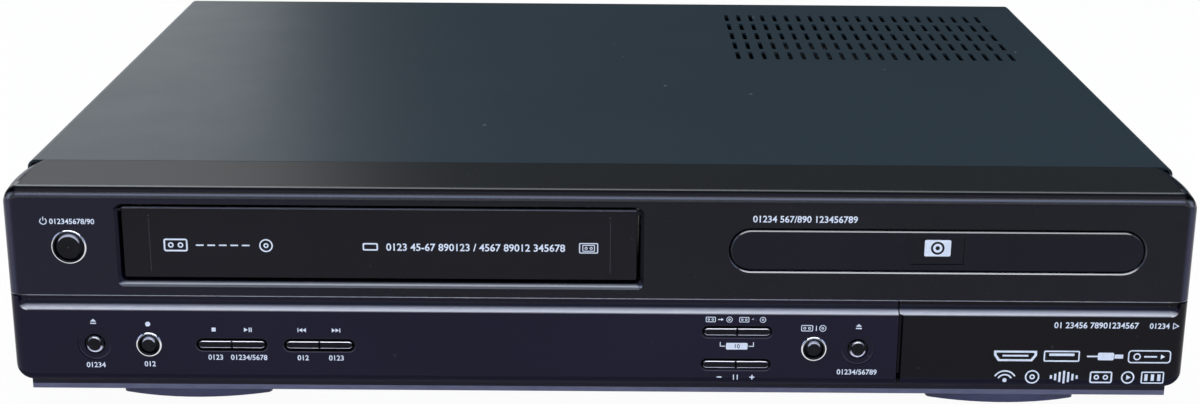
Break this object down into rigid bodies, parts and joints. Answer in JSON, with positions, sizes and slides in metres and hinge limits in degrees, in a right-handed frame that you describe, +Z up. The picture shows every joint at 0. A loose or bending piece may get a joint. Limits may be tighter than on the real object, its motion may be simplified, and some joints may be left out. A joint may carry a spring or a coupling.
{
  "type": "combined disc and cassette recorder",
  "caption": "Low full-width home recorder with a cassette door, a sliding disc tray, push keys, a hinged jack flap and a vented cover.",
  "frame": {"origin": "on the table, under the middle of the whole outline", "axes": "+X right seen from the front, +Y to the back, +Z up"},
  "size_m": [0.435, 0.3402, 0.0901],
  "materials": {
    "cover_paint": "satin dark teal grey paint",
    "bezel_plastic": "fine matt black",
    "fascia_gloss": "glossy blue black",
    "key_plastic": "smooth dark grey",
    "ring_chrome": "bright plated",
    "chassis_steel": "zinc plated",
    "panel_paint": "satin black paint",
    "feet_plastic": "blue grey",
    "pad_rubber": "soft black",
    "screw_steel": "blackened",
    "socket_plastic": "black moulded",
    "board_green": "lacquered board",
    "tube_glass": "smoked tube",
    "can_aluminium": "bright",
    "coil_plastic": "taped winding",
    "white_plastic": "natural moulding",
    "drive_plastic": "black moulded",
    "shaft_steel": "ground"
  },
  "bodies": {
    "case": {"top_cover": "cover_paint", "bottom_chassis": "chassis_steel", "rear_panel": "panel_paint", "front_bezel": "bezel_plastic", "lower_fascia": "fascia_gloss", "button_rings": "ring_chrome", "key_board": "board_green", "tact_switches": "socket_plastic", "display_tube": "tube_glass", "front_jacks": "socket_plastic", "feet": "feet_plastic", "foot_pads": "pad_rubber", "case_screws": "screw_steel", "scart_sockets": "socket_plastic", "jack_panel": "socket_plastic", "digital_socket": "socket_plastic", "tuner_can": "chassis_steel", "mains_inlet": "socket_plastic", "fan_frame": "socket_plastic", "power_board": "board_green", "power_parts": "can_aluminium", "transformer": "coil_plastic", "main_board": "board_green", "main_chips": "socket_plastic", "deck_chassis": "chassis_steel", "cassette_housing": "chassis_steel", "head_drum_base": "can_aluminium", "drive_frame": "drive_plastic", "drive_cover": "chassis_steel"},
    "av_flap": {"av_flap": "fascia_gloss"},
    "cassette_door": {"cassette_door": "bezel_plastic"},
    "disc_tray": {"disc_tray": "drive_plastic", "tray_front": "bezel_plastic"},
    "standby_key": {"standby_key": "key_plastic"},
    "eject_key": {"eject_key": "key_plastic"},
    "record_key": {"record_key": "key_plastic"},
    "source_key": {"source_key": "key_plastic"},
    "open_close_key": {"open_close_key": "key_plastic"},
    "stop_key": {"stop_key": "key_plastic"},
    "play_key": {"play_key": "key_plastic"},
    "rewind_key": {"rewind_key": "key_plastic"},
    "forward_key": {"forward_key": "key_plastic"},
    "copy_to_disc_key": {"copy_to_disc_key": "key_plastic"},
    "copy_to_tape_key": {"copy_to_tape_key": "key_plastic"},
    "channel_down_key": {"channel_down_key": "key_plastic"},
    "channel_up_key": {"channel_up_key": "key_plastic"},
    "fan_rotor": {"fan_rotor": "socket_plastic"},
    "cassette_carrier": {"cassette_carrier": "chassis_steel"},
    "head_drum": {"head_drum": "can_aluminium"},
    "capstan": {"capstan": "shaft_steel"},
    "pinch_arm": {"pinch_arm": "shaft_steel"},
    "pinch_roller": {"pinch_roller": "pad_rubber"},
    "reel_supply": {"reel_supply": "white_plastic"},
    "reel_takeup": {"reel_takeup": "white_plastic"},
    "loading_pinion": {"loading_pinion": "white_plastic"},
    "traverse": {"traverse_frame": "chassis_steel", "guide_rods": "shaft_steel"},
    "turntable": {"turntable": "shaft_steel"},
    "pickup_sled": {"pickup_sled": "drive_plastic"},
    "disc_clamp": {"disc_clamp": "white_plastic"}
  },
  "joints": [
    {"name": "flap_hinge", "type": "hinge", "parent": "case", "child": "av_flap", "pos_m": [0.1164, -0.1663, 0.028], "axis": [0, 0, -1], "range_deg": [0, 86]},
    {"name": "cassette_door_hinge", "type": "hinge", "parent": "case", "child": "cassette_door", "pos_m": [-0.0804, -0.1666, 0.0781], "axis": [1, 0, 0], "range_deg": [0, 82], "stiffness_Nm_per_rad": 0.01, "springref_deg": -14.32},
    {"name": "tray_slide", "type": "slide", "parent": "case", "child": "disc_tray", "axis": [0, -1, 0], "range_m": [0, 0.14]},
    {"name": "loading_pinion_spin", "type": "hinge", "parent": "case", "child": "loading_pinion", "pos_m": [0.07715, -0.1453, 0.058], "axis": [0, 0, 1], "range_deg": [0, 803]},
    {"name": "traverse_lift", "type": "slide", "parent": "case", "child": "traverse", "axis": [0, 0, 1], "range_m": [0, 0.007]},
    {"name": "turntable_spin", "type": "hinge", "parent": "traverse", "child": "turntable", "pos_m": [0.12315, -0.0913, 0.056], "axis": [0, 0, 1], "continuous": true},
    {"name": "sled_slide", "type": "slide", "parent": "traverse", "child": "pickup_sled", "axis": [0, 1, 0], "range_m": [0, 0.034]},
    {"name": "clamp_spin", "type": "hinge", "parent": "case", "child": "disc_clamp", "pos_m": [0.12315, -0.0913, 0.072], "axis": [0, 0, 1], "continuous": true},
    {"name": "fan_spin", "type": "hinge", "parent": "case", "child": "fan_rotor", "pos_m": [-0.13, 0.1527, 0.05], "axis": [0, 1, 0], "continuous": true},
    {"name": "drum_spin", "type": "hinge", "parent": "case", "child": "head_drum", "pos_m": [-0.0804, 0.0087, 0.031], "axis": [0.0513, -0.1027, 0.9934], "continuous": true},
    {"name": "capstan_spin", "type": "hinge", "parent": "case", "child": "capstan", "pos_m": [-0.0324, -0.0193, 0.02], "axis": [0, 0, 1], "continuous": true},
    {"name": "pinch_arm_swing", "type": "hinge", "parent": "case", "child": "pinch_arm", "pos_m": [0.0034, -0.0193, 0.027], "axis": [0, 0, 1], "range_deg": [0, 35]},
    {"name": "pinch_roller_spin", "type": "hinge", "parent": "pinch_arm", "child": "pinch_roller", "pos_m": [-0.01872, -0.00381, 0.034], "axis": [0, 0, 1], "continuous": true},
    {"name": "reel_supply_spin", "type": "hinge", "parent": "case", "child": "reel_supply", "pos_m": [-0.1264, -0.0853, 0.028], "axis": [0, 0, 1], "continuous": true},
    {"name": "reel_takeup_spin", "type": "hinge", "parent": "case", "child": "reel_takeup", "pos_m": [-0.0344, -0.0853, 0.028], "axis": [0, 0, 1], "continuous": true},
    {"name": "carrier_lift", "type": "slide", "parent": "case", "child": "cassette_carrier", "axis": [0, 0, -1], "range_m": [0, 0.0265]},
    {"name": "standby_key_press", "type": "slide", "parent": "case", "child": "standby_key", "axis": [0, 1, 0], "range_m": [0, 0.0008], "stiffness_N_per_m": 400, "springref_m": -0.0008},
    {"name": "eject_key_press", "type": "slide", "parent": "case", "child": "eject_key", "axis": [0, 1, 0], "range_m": [0, 0.0008], "stiffness_N_per_m": 400, "springref_m": -0.0008},
    {"name": "record_key_press", "type": "slide", "parent": "case", "child": "record_key", "axis": [0, 1, 0], "range_m": [0, 0.0008], "stiffness_N_per_m": 400, "springref_m": -0.0008},
    {"name": "source_key_press", "type": "slide", "parent": "case", "child": "source_key", "axis": [0, 1, 0], "range_m": [0, 0.0008], "stiffness_N_per_m": 400, "springref_m": -0.0008},
    {"name": "open_close_key_press", "type": "slide", "parent": "case", "child": "open_close_key", "axis": [0, 1, 0], "range_m": [0, 0.0008], "stiffness_N_per_m": 400, "springref_m": -0.0008},
    {"name": "stop_key_press", "type": "slide", "parent": "case", "child": "stop_key", "axis": [0, 1, 0], "range_m": [0, 0.0008], "stiffness_N_per_m": 400, "springref_m": -0.0008},
    {"name": "play_key_press", "type": "slide", "parent": "case", "child": "play_key", "axis": [0, 1, 0], "range_m": [0, 0.0008], "stiffness_N_per_m": 400, "springref_m": -0.0008},
    {"name": "rewind_key_press", "type": "slide", "parent": "case", "child": "rewind_key", "axis": [0, 1, 0], "range_m": [0, 0.0008], "stiffness_N_per_m": 400, "springref_m": -0.0008},
    {"name": "forward_key_press", "type": "slide", "parent": "case", "child": "forward_key", "axis": [0, 1, 0], "range_m": [0, 0.0008], "stiffness_N_per_m": 400, "springref_m": -0.0008},
    {"name": "copy_to_disc_key_press", "type": "slide", "parent": "case", "child": "copy_to_disc_key", "axis": [0, 1, 0], "range_m": [0, 0.0008], "stiffness_N_per_m": 400, "springref_m": -0.0008},
    {"name": "copy_to_tape_key_press", "type": "slide", "parent": "case", "child": "copy_to_tape_key", "axis": [0, 1, 0], "range_m": [0, 0.0008], "stiffness_N_per_m": 400, "springref_m": -0.0008},
    {"name": "channel_down_key_press", "type": "slide", "parent": "case", "child": "channel_down_key", "axis": [0, 1, 0], "range_m": [0, 0.0008], "stiffness_N_per_m": 400, "springref_m": -0.0008},
    {"name": "channel_up_key_press", "type": "slide", "parent": "case", "child": "channel_up_key", "axis": [0, 1, 0], "range_m": [0, 0.0008], "stiffness_N_per_m": 400, "springref_m": -0.0008}
  ],
  "couplings": [
    {"joint": "loading_pinion_spin", "follows": "tray_slide", "rad_per_m": 100}
  ]
}
